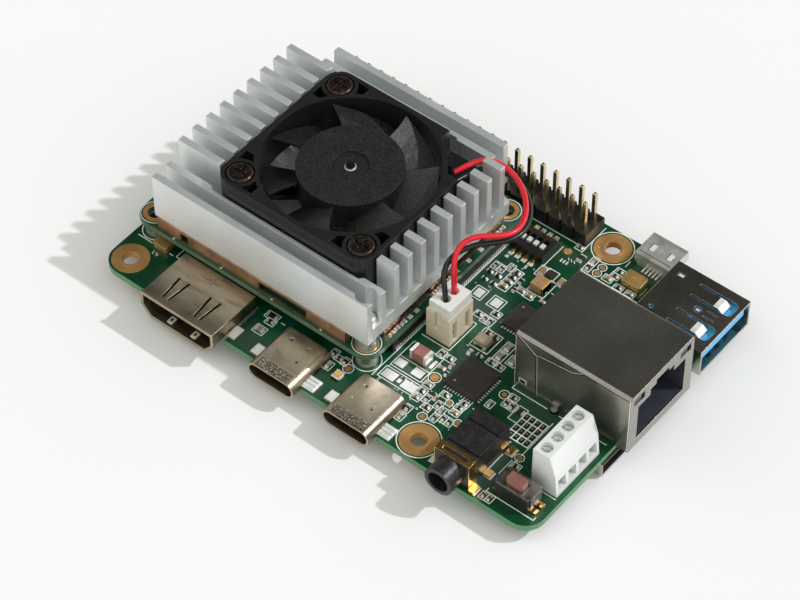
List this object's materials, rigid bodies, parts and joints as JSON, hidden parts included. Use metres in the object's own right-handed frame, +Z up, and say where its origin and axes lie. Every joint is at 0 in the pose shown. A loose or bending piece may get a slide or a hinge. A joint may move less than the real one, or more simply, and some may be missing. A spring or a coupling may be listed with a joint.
{
  "type": "single board computer",
  "caption": "Credit-card sized computer board with a plug-in module under a finned heatsink and fan, side sockets, a screw terminal, slide switches and a pin header.",
  "frame": {"origin": "centre of the four mounting holes, on the underside of the carrier board", "axes": "+X along the long front edge towards the network and USB sockets, +Y towards the pin header, +Z up out of the component side"},
  "size_m": [0.0873, 0.0599, 0.0226],
  "materials": {
    "black_lead": "satin",
    "black_resin": "satin",
    "blue_plastic": "satin",
    "brass": "satin",
    "cage_steel": "satin",
    "can_gold": "satin",
    "card_shell": "satin",
    "carrier_board": "gloss",
    "chip": "matte",
    "cream_plastic": "satin",
    "dip_knob": "satin",
    "dip_plastic": "satin",
    "ethernet_insert": "satin",
    "ethernet_shell": "satin",
    "fan_plastic": "satin",
    "ffc_plastic": "matte",
    "gold": "bright",
    "heatsink": "bead blasted",
    "jack_plastic": "satin",
    "latch_plastic": "matte",
    "magnet": "matte",
    "module_board": "gloss",
    "passive": "matte",
    "pin_gold": "bright",
    "plunger": "matte",
    "red_lead": "satin",
    "rotor_plastic": "satin",
    "screw_black": "satin",
    "screw_steel": "satin",
    "shaft_steel": "polished",
    "shield": "satin",
    "socket_insert": "satin",
    "socket_shell": "satin",
    "standoff_steel": "satin",
    "stator": "satin",
    "switch_base": "matte",
    "switch_cover": "satin",
    "terminal_plastic": "satin",
    "thermal_pad": "matte",
    "usb_a_shell": "bright",
    "usb_c_shell": "satin"
  },
  "bodies": {
    "board": {"audio_jack_body": "jack_plastic", "audio_jack_clip": "gold", "chips": "chip", "contacts_and_leads": "gold", "dip_body": "dip_plastic", "ethernet_insert": "ethernet_insert", "ethernet_shell": "ethernet_shell", "fan_bearing": "brass", "fan_header": "cream_plastic", "fan_housing": "fan_plastic", "fan_plug": "cream_plastic", "fan_screws": "screw_black", "fan_stator": "stator", "fan_wire_black": "black_lead", "fan_wire_red": "red_lead", "ffc_sockets": "ffc_plastic", "gpio_header": "black_resin", "gpio_pins": "pin_gold", "hdmi_shell": "socket_shell", "heatsink": "heatsink", "heatsink_screws": "screw_steel", "main_pcb": "carrier_board", "micro_usb_shell": "socket_shell", "microphones": "can_gold", "passives": "passive", "reset_base": "switch_base", "reset_cover": "switch_cover", "sd_base": "black_resin", "sd_shell": "card_shell", "socket_inserts": "socket_insert", "som_chips": "chip", "som_pcb": "module_board", "som_plugs": "black_resin", "som_shield": "shield", "som_sockets": "black_resin", "standoffs": "standoff_steel", "terminal_body": "terminal_plastic", "thermal_pads": "thermal_pad", "usb_a_insert": "blue_plastic", "usb_a_shell": "usb_a_shell", "usb_c_shells": "usb_c_shell"},
    "fan_rotor_body": {"fan_rotor": "rotor_plastic", "fan_magnet": "magnet", "fan_shaft": "shaft_steel"},
    "reset_plunger_body": {"reset_plunger": "plunger"},
    "camera_latch": {"ffc_latch_camera": "latch_plastic"},
    "display_latch": {"ffc_latch_display": "latch_plastic"},
    "card_slider": {"sd_slider": "black_resin"},
    "dip_knob_1": {"dip_slider_1": "dip_knob"},
    "clamp_screw_1": {"terminal_screw_1": "screw_steel"},
    "clamp_cage_1": {"terminal_cage_1": "cage_steel"},
    "dip_knob_2": {"dip_slider_2": "dip_knob"},
    "clamp_screw_2": {"terminal_screw_2": "screw_steel"},
    "clamp_cage_2": {"terminal_cage_2": "cage_steel"},
    "dip_knob_3": {"dip_slider_3": "dip_knob"},
    "clamp_screw_3": {"terminal_screw_3": "screw_steel"},
    "clamp_cage_3": {"terminal_cage_3": "cage_steel"},
    "dip_knob_4": {"dip_slider_4": "dip_knob"},
    "clamp_screw_4": {"terminal_screw_4": "screw_steel"},
    "clamp_cage_4": {"terminal_cage_4": "cage_steel"}
  },
  "joints": [
    {"name": "fan_spin", "type": "hinge", "parent": "board", "child": "fan_rotor_body", "pos_m": [-0.0038, -0.0003, 0.0152], "axis": [0, 0, 1], "continuous": true},
    {"name": "reset_press", "type": "slide", "parent": "board", "child": "reset_plunger_body", "axis": [0, 0, -1], "range_m": [0, 0.00025], "stiffness_N_per_m": 2000},
    {"name": "card_push", "type": "slide", "parent": "board", "child": "card_slider", "axis": [-1, 0, 0], "range_m": [0, 0.001], "stiffness_N_per_m": 200},
    {"name": "camera_latch_flip", "type": "hinge", "parent": "board", "child": "camera_latch", "pos_m": [-0.0115, -0.0141, -0.0023], "axis": [1, 0, 0], "range_deg": [0, 90]},
    {"name": "display_latch_flip", "type": "hinge", "parent": "board", "child": "display_latch", "pos_m": [0.0125, -0.0141, -0.0023], "axis": [1, 0, 0], "range_deg": [0, 90]},
    {"name": "dip_slide_1", "type": "slide", "parent": "board", "child": "dip_knob_1", "axis": [0, 1, 0], "range_m": [0, 0.0008]},
    {"name": "clamp_screw_turn_1", "type": "hinge", "parent": "board", "child": "clamp_screw_1", "pos_m": [0.0484, -0.01891, 0.0077], "axis": [0, 0, -1], "range_deg": [0, 1080]},
    {"name": "clamp_cage_rise_1", "type": "slide", "parent": "board", "child": "clamp_cage_1", "axis": [0, 0, 1], "range_m": [0, 0.0012]},
    {"name": "dip_slide_2", "type": "slide", "parent": "board", "child": "dip_knob_2", "axis": [0, 1, 0], "range_m": [0, 0.0008]},
    {"name": "clamp_screw_turn_2", "type": "hinge", "parent": "board", "child": "clamp_screw_2", "pos_m": [0.0484, -0.01637, 0.0077], "axis": [0, 0, -1], "range_deg": [0, 1080]},
    {"name": "clamp_cage_rise_2", "type": "slide", "parent": "board", "child": "clamp_cage_2", "axis": [0, 0, 1], "range_m": [0, 0.0012]},
    {"name": "dip_slide_3", "type": "slide", "parent": "board", "child": "dip_knob_3", "axis": [0, 1, 0], "range_m": [0, 0.0008]},
    {"name": "clamp_screw_turn_3", "type": "hinge", "parent": "board", "child": "clamp_screw_3", "pos_m": [0.0484, -0.01383, 0.0077], "axis": [0, 0, -1], "range_deg": [0, 1080]},
    {"name": "clamp_cage_rise_3", "type": "slide", "parent": "board", "child": "clamp_cage_3", "axis": [0, 0, 1], "range_m": [0, 0.0012]},
    {"name": "dip_slide_4", "type": "slide", "parent": "board", "child": "dip_knob_4", "axis": [0, 1, 0], "range_m": [0, 0.0008]},
    {"name": "clamp_screw_turn_4", "type": "hinge", "parent": "board", "child": "clamp_screw_4", "pos_m": [0.0484, -0.01129, 0.0077], "axis": [0, 0, -1], "range_deg": [0, 1080]},
    {"name": "clamp_cage_rise_4", "type": "slide", "parent": "board", "child": "clamp_cage_4", "axis": [0, 0, 1], "range_m": [0, 0.0012]}
  ],
  "couplings": [
    {"joint": "clamp_screw_turn_1", "follows": "clamp_cage_rise_1", "rad_per_m": 15708},
    {"joint": "clamp_screw_turn_2", "follows": "clamp_cage_rise_2", "rad_per_m": 15708},
    {"joint": "clamp_screw_turn_3", "follows": "clamp_cage_rise_3", "rad_per_m": 15708},
    {"joint": "clamp_screw_turn_4", "follows": "clamp_cage_rise_4", "rad_per_m": 15708}
  ]
}
